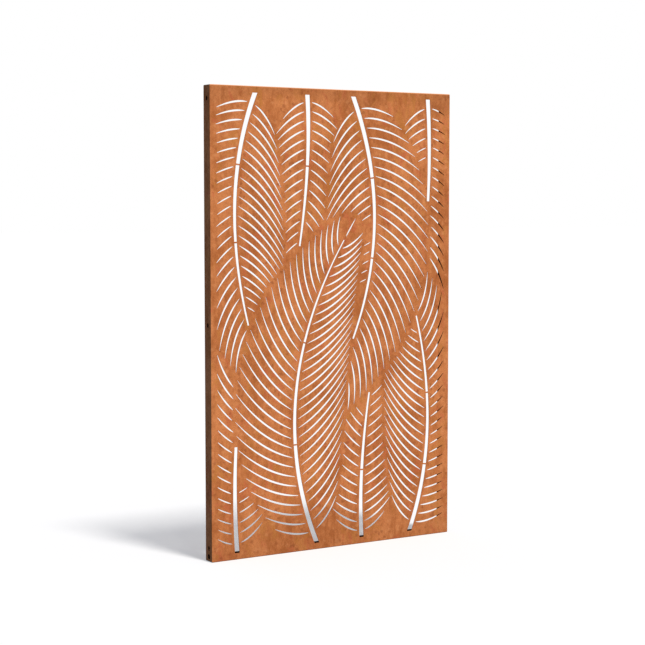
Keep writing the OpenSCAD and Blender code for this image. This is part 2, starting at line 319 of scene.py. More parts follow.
def band(tree, value, low, high, to_low=0.0, to_high=1.0):
    """A value mapped smoothly from one range to another, and held at its ends."""
    node = add_node(tree, "ShaderNodeMapRange", {
        "Value": value, "From Min": low, "From Max": high, "To Min": to_low, "To Max": to_high},
        interpolation_type="SMOOTHSTEP")
    return node.outputs["Result"]


def mix_colour(tree, factor, first, second, blend="MIX"):
    """The first colour, and by the factor the second one on it."""
    # A colour mix keeps its own sockets behind those of the other kinds
    node = add_node(tree, "ShaderNodeMix", {"Factor": factor, 6: first, 7: second},
                    data_type="RGBA", blend_type=blend, clamp_factor=True)
    return node.outputs[2]


def tinted(tree, colour, tint):
    """A colour multiplied by another one, or by a shade of grey."""
    return mix_colour(tree, 1.0, colour, tint, "MULTIPLY")


def spots(tree, place, scale, share, size):
    """Soft-edged spots of uneven outline in a share of the cells of a grid."""
    # The wobble of the outlines is finer than the cells, and reaches nearly a cell's width.
    # A spot is at its full strength up to the core's share of its size.
    finer, reach, core = 2.5, 0.9, 0.3
    wobble = add_node(tree, "ShaderNodeTexNoise", {"Vector": place, "Scale": scale * finer})
    wandering = add_node(tree, "ShaderNodeVectorMath", {
        0: wobble.outputs["Color"], 1: (reach / scale,) * 3, 2: place}, operation="MULTIPLY_ADD")
    cells = add_node(tree, "ShaderNodeTexVoronoi", {"Vector": wandering, "Scale": scale})
    draw = add_node(tree, "ShaderNodeSeparateColor", {0: cells.outputs["Color"]})
    chosen = maths(tree, "LESS_THAN", draw.outputs[0], share)
    spot = band(tree, cells.outputs["Distance"], size * core, size, 1.0, 0.0)
    return product(tree, chosen, spot)


# ---- Shader node groups ----

def rust_group(name):
    """Rust patina: blotches, mottling, faint runs, redder and yellower patches, specks and grain."""
    group, give = new_group(
        name, {"Vector": ["Vector"], "Color": RUSTS, "Float": ["Runs", "Specks"]},
        {"Color": ["Color"], "Float": ["Roughness", "Height"]})
    place = give["Vector"]

    # Rain draws the blotches out downwards, and its runs far more
    drawn = stretched(group, place, (1.0, 1.0, 0.65))
    blotch = noise(group, drawn, 7.0, 2.0, 0.5, 0.3)
    mottle = noise(group, drawn, 32.0, 3.0, 0.6, 0.4)
    fine = noise(group, drawn, 115.0, 3.0, 0.65, 0.3)
    run = noise(group, stretched(group, place, (55.0, 55.0, 8.0)), 1.0, 3.0, 0.6, 0.6)
    grain = noise(group, place, 700.0, 3.0, 0.7)
    crust = noise(group, place, 2200.0, 2.0, 0.6)

    run = maths(group, "SUBTRACT", run, 0.5)
    tone = weighted_sum(group, (blotch, 0.42), (mottle, 0.38), (fine, 0.2), (run, give["Runs"]))
    colour = mix_colour(group, band(group, tone, 0.37, 0.63), give["Dark"], give["Light"])
    redder = band(group, noise(group, drawn, 22.0, 3.0, 0.6, 1.0), 0.55, 0.7, 0.0, 0.6)
    colour = mix_colour(group, redder, colour, give["Warm"])
    yellower = band(group, noise(group, drawn, 17.0, 3.0, 0.6, 0.8), 0.54, 0.7, 0.0, 0.6)
    colour = mix_colour(group, yellower, colour, give["Ochre"])
    grains = weighted_sum(group, (grain, 0.6), (crust, 0.4))
    colour = tinted(group, colour, band(group, grains, 0.35, 0.65, 0.74, 1.24))

    # Pits come in clusters, and dots and dust all over
    cluster = band(group, noise(group, place, 14.0, 2.0), 0.42, 0.6, 0.25, 1.0)
    pits = product(group, spots(group, place, 75.0, 0.14, 0.8), cluster, give["Specks"], 0.7)
    dots = product(group, spots(group, place, 330.0, 0.1, 0.5), give["Specks"])
    dust = product(group, spots(group, place, 65.0, 0.09, 0.8), give["Specks"])
    colour = mix_colour(group, pits, colour, give["Speck"])
    colour = mix_colour(group, product(group, dots, 0.6), colour, give["Speck"])
    colour = mix_colour(group, product(group, dust, 0.4), colour, give["Powder"])

    add_node(group, "NodeGroupOutput", {
        "Color": colour,
        "Roughness": band(group, mottle, 0.3, 0.7, 0.95, 0.8),
        "Height": weighted_sum(
            group, (grain, 0.5), (crust, 0.2), (fine, 0.8), (dots, -0.3), (pits, -0.4)),
    })
    return group


def weathering_group(name):
    """What place does to the patina: pale worn edges with a painted highlight on them, a sheltered
    patina with painted shade in the hollows, laser cut walls, darker bands at the foot and below the
    top, a painted contact shadow along the floor and a painted highlight on the top rim.
    """
    group, give = new_group(
        name, {"Vector": ["Vector"], "Color": ["Color", "Worn", "Shelter"],
               "Float": ["Edge", "Sheltered", "Cut"]},
        {"Color": ["Color"]})
    place = give["Vector"]
    patchy = noise(group, place, 60.0, 3.0, 0.6)
    # Edges and bends turn patchily pale: partly wear, partly a painted highlight where the bends catch
    # the light
    worn_and_highlit = product(group, give["Edge"], band(group, patchy, 0.35, 0.65, 0.0, 0.3))
    colour = mix_colour(group, worn_and_highlit, give["Color"], give["Worn"])
    scorched = tinted(group, colour, (0.5, 0.47, 0.5, 1.0))
    colour = mix_colour(group, give["Cut"], colour, scorched)
    # Sheltered patina and painted shade: faces in the hollows and the holes' walls darken towards the
    # hollow tone
    hollow_shaded = tinted(group, colour, give["Shelter"])
    colour = mix_colour(group, give["Sheltered"], colour, hollow_shaded)

    # Darker towards the foot and just below the top, with an uneven edge, and a level painted contact
    # shadow along the bottom where the screen meets the floor
    height = add_node(group, "ShaderNodeSeparateXYZ", {0: place}).outputs["Z"]
    wander = maths(group, "SUBTRACT", noise(group, place, 5.0, 3.0, 0.6), 0.5)
    uneven = maths(group, "MULTIPLY_ADD", wander, 250 * MM, height)
    darker_foot = band(group, uneven, -25 * MM, 295 * MM, 0.84, 1.0)
    darker_below_top = band(group, uneven, HIGH.z - 70 * MM, HIGH.z - 10 * MM, 1.0, 0.84)
    # Painted shadow: the bottom 4 mm darkens to half, standing for the contact shadow at the floor
    foot_shadow_line = band(group, height, 0.0, 4 * MM, 0.5, 1.0)
    for shade in (darker_foot, darker_below_top, foot_shadow_line):
        colour = tinted(group, colour, shade)

    # Painted highlight: the top rim is mixed towards the pale colour, standing for the light that the
    # top bend catches
    top = band(group, height, HIGH.z - 6 * MM, HIGH.z - 2 * MM)
    top_highlight = band(group, product(group, top, give["Edge"]), 0.0, 0.5, 0.0, 0.8)
    colour = mix_colour(group, top_highlight, colour, give["Worn"])
    add_node(group, "NodeGroupOutput", {"Color": colour})
    return group


def plating_group(name):
    """Dull plating on a fixing: a faint cloudiness, fine scratches and rust that blooms on it."""
    group, give = new_group(
        name, {"Vector": ["Vector"], "Color": ["Metal", "Rust"], "Float": ["Bloom"]},
        {"Color": ["Color"], "Float": ["Metallic", "Roughness", "Height"]})
    place = give["Vector"]
    cloud = noise(group, place, 300.0, 3.0, 0.6)
    metal = tinted(group, give["Metal"], band(group, cloud, 0.3, 0.7, 0.8, 1.1))
    # More bloom lowers the level of the noise from which rust shows
    level = maths(group, "MULTIPLY_ADD", give["Bloom"], -0.35, 0.75)
    over = maths(group, "SUBTRACT", noise(group, place, 220.0, 4.0, 0.65, 0.5), level)
    rust = maths(group, "MULTIPLY", over, 9.0, clamp=True)
    scratches = noise(group, stretched(group, place, (2500.0, 2500.0, 400.0)), 1.0, 1.0)
    add_node(group, "NodeGroupOutput", {
        "Color": mix_colour(group, rust, metal, give["Rust"]),
        "Metallic": maths(group, "SUBTRACT", 1.0, rust, clamp=True),
        "Roughness": band(group, rust, 0.0, 1.0, 0.38, 0.85),
        "Height": maths(group, "MULTIPLY_ADD", scratches, 0.2, rust),
    })
    return group


GROUPS = {
    "Rust patina": rust_group,
    "Weathering": weathering_group,
    "Dull plating": plating_group,
}


def add_group(tree, name, inputs):
    """A shared node group in a material's tree. It is built when it is first asked for."""
    group = bpy.data.node_groups.get(name) or GROUPS[name](name)
    return add_node(tree, "ShaderNodeGroup", inputs, node_tree=group)


# ---- Materials ----

def empty_tree(owner):
    """The node tree of a material or a world, with nothing in it."""
    owner.use_nodes = True
    owner.node_tree.nodes.clear()
    return owner.node_tree


def toned(colour, tone=(1.0, 1.0, 1.0)):
    """A colour in a tone, as a colour socket takes it."""
    return (*(min(1.0, part * factor) for part, factor in zip(colour, tone)), 1.0)


def coat(tree, height, bump, inputs):
    """Ends a material's tree in a Principled shader with these inputs and this relief."""
    relief = add_node(tree, "ShaderNodeBump", {"Strength": 1.0, "Distance": bump, "Height": height})
    shader = add_node(tree, "ShaderNodeBsdfPrincipled", {**inputs, "Normal": relief})
    add_node(tree, "ShaderNodeOutputMaterial", {"Surface": shader})


def rust_material(finish, name, tone=(1.0, 1.0, 1.0), runs=0.2, specks=0.7):
    """The patina in a piece's own tone, weathered by where each of its faces lies. On the frame the tone
    is a painted shade.
    """
    material = bpy.data.materials.new(name)
    tree = empty_tree(material)
    place = add_node(tree, "ShaderNodeTexCoord").outputs["Object"]
    colours = {label: toned(getattr(finish, label.lower() + "_rust"), tone) for label in RUSTS}
    rust = add_group(tree, "Rust patina", {
        "Vector": place, **colours, "Runs": runs, "Specks": specks})
    marks = {mark.capitalize(): add_node(tree, "ShaderNodeAttribute", attribute_name=mark).outputs["Fac"]
             for mark in MARKS}
    # The hollow tone paints shade with the sheltered patina, and the pale colour paints a highlight with
    # the wear
    weathered = add_group(tree, "Weathering", {
        "Vector": place, "Color": rust.outputs["Color"], "Worn": colours["Powder"],
        "Shelter": toned(finish.sheltered), **marks})
    coat(tree, rust.outputs["Height"], RUST_BUMP, {
        "Base Color": weathered,
        "Roughness": rust.outputs["Roughness"],
        "Specular IOR Level": RUST_GLOSS,
    })
    return material


def plated_material(finish, name):
    """Dull plated steel that has begun to rust. Fixings of one finish share it."""
    if name in bpy.data.materials:
        return bpy.data.materials[name]
    shade, bloom = PLATINGS[name]
    rust_shade = 0.8
    material = bpy.data.materials.new(name)
    tree = empty_tree(material)
    plating = add_group(tree, "Dull plating", {
        "Vector": add_node(tree, "ShaderNodeTexCoord").outputs["Object"],
        "Metal": toned(finish.steel, (shade,) * 3),
        "Rust": toned(finish.dark_rust, (rust_shade,) * 3),
        "Bloom": bloom,
    })
    coat(tree, plating.outputs["Height"], PLATING_BUMP, {
        "Base Color": plating.outputs["Color"],
        "Metallic": plating.outputs["Metallic"],
        "Roughness": plating.outputs["Roughness"],
    })
    return material


# ---- Objects and meshes ----

def new_object(name, data):
    """An object in the scene."""
    item = bpy.data.objects.new(name, data)
    bpy.context.scene.collection.objects.link(item)
    return item


def add_piece(mesh, material, slot, *nodes):
    """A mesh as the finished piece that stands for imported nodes, named after the first."""
    piece = new_object(nodes[0] + "_dressed", mesh)
    mesh.materials.clear()
    mesh.materials.append(material)
    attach(piece, BODY)
    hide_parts(*nodes)


def merged_copy(node):
    """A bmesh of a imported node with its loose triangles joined."""
    built = bmesh.new()
    built.from_mesh(NODES[node].data)
    bmesh.ops.remove_doubles(built, verts=built.verts, dist=0.002 * MM)
    return built


def store(built, mesh):
    """Puts a bmesh into a mesh, and frees it."""
    built.to_mesh(mesh)
    built.free()
    return mesh


def with_faces_out(mesh, seam=0.0):
    """Turns a mesh's faces outwards. Points nearer than seam are joined first."""
    built = bmesh.new()
    built.from_mesh(mesh)
    if seam:
        bmesh.ops.remove_doubles(built, verts=built.verts, dist=seam)
        bmesh.ops.dissolve_degenerate(built, edges=built.edges, dist=seam / 5)
    bmesh.ops.recalc_face_normals(built, faces=built.faces)
    return store(built, mesh)


def set_marks(mesh, domain, marks):
    """Stores the marks of a mesh's points or faces, by their name."""
    for name, values in marks.items():
        mesh.attributes.new(name, "FLOAT", domain).data.foreach_set("value", values)


def applied(item, name):
    """The mesh of an object as its modifiers leave it."""
    shown = item.evaluated_get(bpy.context.evaluated_depsgraph_get())
    mesh = bpy.data.meshes.new_from_object(shown)
    mesh.name = name
    return mesh


def discard(*helpers):
    """Takes helper objects and their meshes out again."""
    for helper in helpers:
        mesh = helper.data
        bpy.data.objects.remove(helper)
        bpy.data.meshes.remove(mesh)


def ring_faces(first, second, count):
    """The faces between two closed rings of points, each given by its first point's number."""
    return [(first + i, first + (i + 1) % count, second + (i + 1) % count, second + i)
            for i in range(count)]


# ---- The face sheet ----

def wall_loops(built, y):
    """The closed lines, as lists of (x, z), where the walls meet the flat face at y."""
    near = 0.01 * MM
    on_face = {v for v in built.verts if abs(v.co.y - y) < near}
    follow = {}
    for edge in built.edges:
        if not all(v in on_face for v in edge.verts):
            continue
        flat = [f for f in edge.link_faces if all(v in on_face for v in f.verts)]
        if len(flat) != 1:
            continue
        # In the flat face's own direction the steel lies on one side all along
        loop = next(l for l in edge.link_loops if l.face == flat[0])
        follow[loop.vert] = loop.link_loop_next.vert
    loops = []
    while follow:
        start, vert = follow.popitem()
        line = [start]
        while vert != start:
            line.append(vert)
            vert = follow.pop(vert)
        loops.append([Vector((v.co.x, v.co.z)) for v in line])
    return loops


def signed_area(points):
    """The area in a closed line, positive where it runs anticlockwise."""
    return sum(a.x * b.y - a.y * b.x for a, b in zip(points, points[1:] + points[:1])) / 2


def neighbours(points):
    """Each point of a closed line, between the one before it and the one after it."""
    return zip(points[-1:] + points[:-1], points, points[1:] + points[:1])


def turns(points):
    """The angle by which the closed line turns at each point."""
    return [abs((here - before).angle_signed(after - here, 0.0))
            for before, here, after in neighbours(points)]


def drop_straight(points, angle=math.radians(0.2)):
    """Leaves out points where the line runs straight on."""
    return [point for point, turn in zip(points, turns(points)) if turn > angle]


def smooth_loop(points, steps, corner=math.radians(35), long_span=4 * MM):
    """A closed line with a smooth curve through its points, and whether each point is a corner."""
    sharp = [turn > corner for turn in turns(points)]
    count = len(points)
    smoothed, corners = [], []
    for i in range(count):
        here, after = points[i], points[(i + 1) % count]
        before, beyond = points[i - 1], points[(i + 2) % count]
        span = after - here
        lead = span if sharp[i] else (after - before) / 2
        trail = span if sharp[(i + 1) % count] else (beyond - here) / 2
        lead = lead.normalized() * min(lead.length, span.length)
        trail = trail.normalized() * min(trail.length, span.length)
        smoothed.append(here)
        corners.append(sharp[i])
        pieces = steps if span.length > long_span else 1
        for k in range(1, pieces):
            t = k / pieces
            smoothed.append(
                (2 * t**3 - 3 * t**2 + 1) * here + (t**3 - 2 * t**2 + t) * lead
                + (3 * t**2 - 2 * t**3) * after + (t**3 - t**2) * trail)
            corners.append(False)
    return smoothed, corners


def rounded_corners(points, corners, radius, most=0.45):
    """The closed line with an arc in place of each corner, over at most that share of its sides."""
    done = []
    for (before, here, after), corner in zip(neighbours(points), corners):
        if not corner:
            done.append(here)
            continue
        back, on = before - here, after - here
        cut = min(radius, most * back.length, most * on.length)
        first, last = here + back.normalized() * cut, here + on.normalized() * cut
        done += [(1 - t)**2 * first + 2 * t * (1 - t) * here + t * t * last
                 for t in (0.0, 0.5, 1.0)]
    return done


def side_normals(points):
    """At each point of a closed line, the way out of the steel and how far a unit of inset goes."""
    result = []
    for before, here, after in neighbours(points):
        first, second = (here - before).normalized(), (after - here).normalized()
        out = Vector((first.y + second.y, -(first.x + second.x))).normalized()
        half = max(0.5, out.dot(Vector((first.y, -first.x))))
        result.append((out, 1 / half))
    return result


def rim_profile(border, front, back, steps, cut):
    """Rings down a wall, each with its inset, depth, lean of the normal and marks.

    A flat border comes first, then an arc at the front and a broken edge at the back.
    """
    thick = SHEET_BACK_Y - FACE_Y
    rings = [(front + border, 0.0, 0.0, (0.0, 0.0, 0.0))]
    for k in range(steps + 1):
        a = math.pi / 2 * k / steps
        rings.append((front * (1 - math.sin(a)), front * (1 - math.cos(a)), a,
                      (1.0, 0.0, cut * k / steps)))
    rings.append((0.0, thick - back, math.pi / 2, (0.5, 0.0, cut)))
    # The sheet's back takes half the sheltered patina and painted shade of the recess
    rings.append((back, thick, math.pi, (0.0, HALF_HOLLOW_SHADE, 0.0)))
    return rings


def line_and_profile(line, is_outline, settings):
    """The points that the wall along a cut line goes through, and its profile."""
    if is_outline:
        return line, rim_profile(
            settings.pale_rim_border, settings.rim_radius, settings.back_break, steps=6, cut=0.0)
    points, corners = smooth_loop(drop_straight(line), settings.curve_steps)
    return rounded_corners(points, corners, settings.slot_corner), rim_profile(
        settings.slot_border, settings.slot_break, settings.back_break, steps=1, cut=1.0)


def fill_between(rings, verts):
    """The triangles of flat steel between rings, which are lists of points' numbers."""
    numbers = [i for ring in rings for i in ring]
    index = {number: n for n, number in enumerate(numbers)}
    plan = [Vector((verts[i][0], verts[i][2])) for i in numbers]
    # Every line runs anticlockwise here, which is how the filling tells a hole from steel
    lines = [[index[i] for i in ring] for ring in rings]
    lines = [line if signed_area([plan[i] for i in line]) > 0 else line[::-1] for line in lines]
    triangles_with_holes_open, near = 2, 1e-7
    filled = delaunay_2d_cdt(plan, [], lines, triangles_with_holes_open, near)
    if len(filled[0]) != len(plan):
        raise RuntimeError("two of the sheet's cut lines meet")
    came_from = [numbers[origin[0]] for origin in filled[3]]
    return [tuple(came_from[i] for i in face) for face in filled[2]]


def face_sheet_mesh(settings):
    """The cut sheet with smooth slots, a rounded rim and broken edges, and their own normals."""
    source = merged_copy("face_sheet")
    lines = wall_loops(source, FACE_Y)
    source.free()
    # The widest line is the sheet's outline, and the rest are its slots
    outline = max(lines, key=lambda line: max(p.x for p in line) - min(p.x for p in line))

    verts, normals, faces = [], [], []
    marks = {name: [] for name in MARKS}
    front, back = [], []
    for line in lines:
        points, profile = line_and_profile(line, line is outline, settings)
        ways = side_normals(points)
        rings = []
        for inset, depth, lean, values in profile:
            rings.append(range(len(verts), len(verts) + len(points)))
            side = math.sin(lean)
            for point, (out, reach) in zip(points, ways):
                at = point - out * inset * reach
                verts.append((at.x, FACE_Y + depth, at.y))
                normals.append((out.x * side, -math.cos(lean), out.y * side))
            for name, value in zip(MARKS, values):
                marks[name] += [value] * len(points)
        for upper, lower in zip(rings, rings[1:]):
            faces += ring_faces(upper[0], lower[0], len(points))
        front.append(rings[0])
        back.append(rings[-1])
    faces += fill_between(front, verts) + fill_between(back, verts)

    mesh = bpy.data.meshes.new("face_sheet_dressed")
    mesh.from_pydata(verts, [], faces)
    with_faces_out(mesh)
    set_marks(mesh, "POINT", marks)
    mesh.shade_smooth()
    mesh.normals_split_custom_set_from_vertices(normals)
    return mesh


# ---- The channels and plates ----

def rim_distance(point):
    """How far a point lies inside the screen's outline."""
    return min(point.x - LOW.x, HIGH.x - point.x, point.z - LOW.z, HIGH.z - point.z)


def fold_radii(built, settings):
    """The radius for each edge along a channel's folds, by where it runs."""
    near, shortest, least_angle = 0.05 * MM, 1 * MM, math.radians(60)
    radii = {}
    for edge in built.edges:
        first, second = (v.co for v in edge.verts)
        if edge.calc_face_angle(0.0) < least_angle or edge.calc_length() < shortest:
            continue
        if abs(first.y - second.y) > near:
            continue
        depth = max(rim_distance(first), rim_distance(second))
        if depth < FRAME_STEEL / 2:
            if abs(first.y - SHEET_BACK_Y) < near:
                radii[edge] = settings.front_bend
            elif abs(first.y - BACK_Y) < near:
                radii[edge] = settings.back_bend
        elif depth < FRAME_STEEL + near and not edge.is_convex:
            radii[edge] = settings.inner_bend
    return radii


def mark_faces(mesh):
    """Marks a frame piece's bends and broken edges, which take a pale patina and painted highlight, the
    recess's faces and the holes' walls, which take a sheltered patina and painted shade, and the holes'
    walls as cut.
    """
    # A point just off a face tells where the face lies, and its normal how it is turned
    off, near, level, backwards = 0.3 * MM, 0.1 * MM, 0.999, 0.7
    rim_width, back_width = 2 * MM, 1 * MM
    marks = {name: [] for name in MARKS}
    for face in mesh.polygons:
        beyond = face.center + face.normal * off
        rim = rim_distance(beyond)
        in_recess = rim > rim_width and SHEET_BACK_Y < beyond.y < BACK_Y - back_width
        in_hole = 0.0 < rim < FRAME_STEEL - near and abs(beyond.y) < HOLE_REACH
        slanted = max(abs(part) for part in face.normal) <= level
        # Faces in the recess and the holes' walls take the sheltered patina and painted shade, half of
        # it where they look back
        hollow_shade_level = HALF_HOLLOW_SHADE if face.normal.y > backwards else 1.0
        marks["edge"].append(float(slanted and not in_recess and not in_hole))
        marks["sheltered"].append(hollow_shade_level if in_recess or in_hole else 0.0)
        marks["cut"].append(float(in_hole))
    set_marks(mesh, "FACE", marks)


def bevelled(node, settings, find_radii=None):
    """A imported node's mesh with its folds rounded and its other edges broken."""
    built = merged_copy(node)
    # Triangles in one plane are joined, which leaves the edges that the real piece has
    bmesh.ops.dissolve_limit(
        built, angle_limit=math.radians(0.5), verts=built.verts, edges=built.edges,
        use_dissolve_boundaries=False)
    weight = built.edges.layers.float.new("bevel_weight_edge")
    widest, least_angle = max(settings.back_bend, settings.front_bend), math.radians(25)
    radii = find_radii(built, settings) if find_radii else {}
    for edge in built.edges:
        if edge.calc_face_angle(0.0) > least_angle:
            edge[weight] = radii.get(edge, settings.edge_break) / widest

    work = new_object(node + "_work", store(built, bpy.data.meshes.new(node + "_work")))
    work.data.shade_smooth()
    rounding = work.modifiers.new("Folds and edges", "BEVEL")
    rounding.limit_method = "WEIGHT"
    rounding.width = widest
    rounding.segments = 4
    rounding.use_clamp_overlap = True
    even = work.modifiers.new("Even shading", "WEIGHTED_NORMAL")
    even.keep_sharp = True
    even.weight = 90
    mesh = applied(work, node + "_dressed")
    discard(work)
    mark_faces(mesh)
    return mesh


# ---- The fixings ----

def solids(node):
    """The middle and the corners of each separate solid of a node, from left to right."""
    built = merged_copy(node)
    left, found = set(built.verts), []
    while left:
        group, queue = set(), [next(iter(left))]
        while queue:
            vert = queue.pop()
            if vert not in group:
                group.add(vert)
                queue += [e.other_vert(vert) for e in vert.link_edges]
        left -= group
        corners = [v.co.copy() for v in group]
        low, high = (Vector([pick(c[i] for c in corners) for i in range(3)]) for pick in (min, max))
        found.append(((low + high) / 2, corners))
    built.free()
    return sorted(found, key=lambda solid: (round(solid[0].x, 5), round(solid[0].z, 5)))


def half_size(node):
    """Half the length along Y of a node's solids, which are alike, and their greatest radius."""
    middle, corners = solids(node)[0]
    reach = [corner - middle for corner in corners]
    return max(abs(r.y) for r in reach), max(math.hypot(r.x, r.z) for r in reach)


def turned_mesh(name, section, segments):
    """A closed mesh from a section carried round Y.

    section(turn) gives its (radius, y) points at that share of a turn. It starts and ends on
    the axis, or ends where it starts.
    """
    verts, faces = [], []
    for i in range(segments):
        a = 2 * math.pi * i / segments
        points = section(i / segments)
        verts += [(r * math.cos(a), y, r * math.sin(a)) for r, y in points]
    count = len(points)
    for i in range(segments):
        here, there = i * count, (i + 1) % segments * count
        faces += [(here + k, there + k, there + k + 1, here + k + 1) for k in range(count - 1)]
    mesh = bpy.data.meshes.new(name)
    mesh.from_pydata(verts, [], faces)
    with_faces_out(mesh, seam=0.005 * MM)
    mesh.shade_smooth()
    mesh.set_sharp_from_angle(angle=math.radians(30))
    return mesh


def stud_mesh(settings):
    """A weld stud: a foot with its weld flange, a threaded shank and a chamfered tip."""
    half, radius = half_size("face_studs")
    flange, depth = settings.flange_radius, settings.thread_depth
    # How far from the sheet the weld flange, its cone and the plain foot end
    flange_end, cone_end, foot_end = 0.35 * MM, 0.9 * MM, 1.4 * MM
    runout, rings_per_turn = 0.8 * MM, 4
    foot = [(0.0, -half), (flange, -half), (flange, flange_end - half),
            (radius - depth / 2, cone_end - half)]
    tip = radius - 0.9 * depth
    length = 2 * half - foot_end
    steps = int(length / settings.thread_pitch * rings_per_turn)

    def section(turn):
        shank = []
        for k in range(steps + 1):
            along = length * k / steps
            wave = 1 - abs(2 * ((k / rings_per_turn - turn) % 1.0) - 1)
            fade = min(1.0, along / runout)
            thread = radius - depth * (wave * fade + (1 - fade) / 2)
            shank.append((min(thread, tip + length - along), along - length + half))
        return foot + shank + [(0.0, half)]

    return turned_mesh("stud", section, segments=20)


def nut_mesh(settings):
    """A hexagon nut whose corners are cut by a cone at both ends, with a countersunk bore."""
    half, corner = half_size("stud_nuts")
    stud = half_size("face_studs")[1]
    flat = corner * math.cos(math.pi / 6)
    clearance, sink = 0.02 * MM, 0.45 * MM
    bore, mouth, rim = stud + clearance, stud + sink, 0.97 * flat
    slope = math.tan(settings.nut_chamfer)

    def section(turn):
        to_flat = 2 * math.pi * turn % (math.pi / 3) - math.pi / 6
        reach = flat / math.cos(to_flat)
        shoulder = half - (reach - rim) * slope
        return [(bore, sink - half), (bore, half - sink), (mouth, half), (rim, half),
                (reach, shoulder), (reach, -shoulder), (rim, -half), (mouth, -half),
                (bore, sink - half)]

    return turned_mesh("nut", section, segments=48)


def washer_mesh():
    """A punched washer, its upper edge rolled over a little."""
    half, rim = half_size("stud_washers")
    clearance, roll, burr = 0.2 * MM, 0.25 * MM, 0.1 * MM
    hole = half_size("face_studs")[1] + clearance
    profile = [(hole, -half), (rim - burr, -half), (rim, burr - half), (rim, half - roll),
               (rim - 0.3 * roll, half - 0.3 * roll), (rim - roll, half), (hole + roll, half),
               (hole, half - roll), (hole, -half)]
    return turned_mesh("washer", lambda turn: profile, segments=40)


def rivet_mesh():
    """A countersunk rivet whose head lies just under the lip's face, with a domed closed end."""
    half, head = half_size("corner_rivets")
    shank, tail = 2.0 * MM, 3.25 * MM
    head_depth, dome = 1.2 * MM, 1.6 * MM
    profile = [(0.0, half), (head * 0.55, half), (head * 0.9, half - 0.03 * MM),
               (head - 0.05 * MM, half - 0.12 * MM), (shank, half - head_depth),
               (shank, dome - half), (tail, dome - half), (tail, dome * 0.72 - half),
               (tail * 0.86, dome * 0.36 - half), (tail * 0.55, dome * 0.1 - half),
               (tail * 0.25, 0.02 * MM - half), (0.0, -half)]
    return turned_mesh("rivet", lambda turn: profile, segments=32)


def scatter_tree(name):
    """Sets a piece on each place, turned at random about its axis within the named limit."""
    tree, give = new_group(
        name, {"Geometry": ["Places"], "Object": ["Piece"], "Float": ["Greatest spin"],
               "Int": ["Seed"], "Material": ["Finish"]},
        {"Geometry": ["Geometry"]}, "GeometryNodeTree")
    tree.is_modifier = True
    piece = add_node(tree, "GeometryNodeObjectInfo", {"Object": give["Piece"]})
    # A random number has one pair of limits for each of its kinds: 2 and 3 are those of a value
    least = maths(tree, "MULTIPLY", give["Greatest spin"], -1.0)
    spin = add_node(tree, "FunctionNodeRandomValue", {
        2: least, 3: give["Greatest spin"], "Seed": give["Seed"]}, data_type="FLOAT")
    turn = add_node(tree, "ShaderNodeCombineXYZ", {"Y": spin.outputs[1]})
    placed = add_node(tree, "GeometryNodeInstanceOnPoints", {
        "Points": give["Places"], "Instance": piece.outputs["Geometry"], "Rotation": turn})
    real = add_node(tree, "GeometryNodeRealizeInstances", {0: placed})
    finished = add_node(tree, "GeometryNodeSetMaterial", {
        "Geometry": real, "Material": give["Finish"]})
    add_node(tree, "NodeGroupOutput", {"Geometry": finished})
    return tree


def set_on_places(settings, node, shape, material):
    """The shape at the middle of every solid of a node, as one plain mesh."""
    name = "Set on places"
    tree = bpy.data.node_groups.get(name) or scatter_tree(name)
    places = bpy.data.meshes.new(node + "_places")
    places.from_pydata([middle for middle, _ in solids(node)], [], [])
    carrier = new_object(node + "_places", places)
    model = new_object(node + "_model", shape)
    modifier = carrier.modifiers.new(name, "NODES")
    modifier.node_group = tree
    sockets = {s.name: s.identifier for s in tree.interface.items_tree if s.in_out == "INPUT"}
    for label, value in [("Piece", model), ("Greatest spin", settings.greatest_spin),
                         ("Seed", settings.seed), ("Finish", material)]:
        modifier[sockets[label]] = value
    bpy.context.view_layer.update()
    mesh = applied(carrier, node + "_dressed")
    discard(carrier, model)
    return mesh


def add_fixings(scene, node, shape, plating, slot):
    """A fixing of the shape, in a plated finish, for every solid of a node."""
    material = plated_material(scene.screen_finish, plating)
    mesh = set_on_places(scene.screen_fixings, node, shape, material)
    add_piece(mesh, material, slot, node)


# ---- The stage ----

def add_sun(name, azimuth, elevation, spread, strength, only=None):
    """A sun at azimuth to the right of the front. It may light just one collection."""
    lamp = bpy.data.lights.new(name, "SUN")
    lamp.energy = strength
    lamp.angle = spread
    sun = new_object(name, lamp)
    level = math.cos(elevation)
    away = Vector((-math.sin(azimuth) * level, math.cos(azimuth) * level, -math.sin(elevation)))
    sun.rotation_euler = away.to_track_quat("-Z", "Y").to_euler()
    if only:
        sun.light_linking.receiver_collection = only


def to_the_eye(tree):
    """1 for camera, glossy and transmission rays, and 0 for the rest."""
    path = add_node(tree, "ShaderNodeLightPath").outputs
    seen = maths(tree, "MAXIMUM", path["Is Camera Ray"], path["Is Glossy Ray"])
    return maths(tree, "MAXIMUM", seen, path["Is Transmission Ray"])


def floor_material(shading):
    """White to the eye apart from its shadow, and a plain grey to the light that it throws back."""
    lit_white, glow_white, plain_grey = (1.0, 0.97, 0.935), (0.98, 0.99, 1.0), (0.28, 0.28, 0.28)
    # The glow makes up what the lit share leaves, to a little over full white
    brightness = 1.02
    material = bpy.data.materials.new("Pale floor")
    tree = empty_tree(material)
    lit = add_node(tree, "ShaderNodeBsdfDiffuse", {"Color": toned(lit_white, (shading,) * 3)})
    glow = add_node(tree, "ShaderNodeEmission", {
        "Color": toned(glow_white), "Strength": brightness - shading})
    both = add_node(tree, "ShaderNodeAddShader", {0: lit, 1: glow})
    plain = add_node(tree, "ShaderNodeBsdfDiffuse", {"Color": toned(plain_grey)})
    chosen = add_node(tree, "ShaderNodeMixShader", {"Fac": to_the_eye(tree), 1: plain, 2: both})
    add_node(tree, "ShaderNodeOutputMaterial", {"Surface": chosen})
    return material


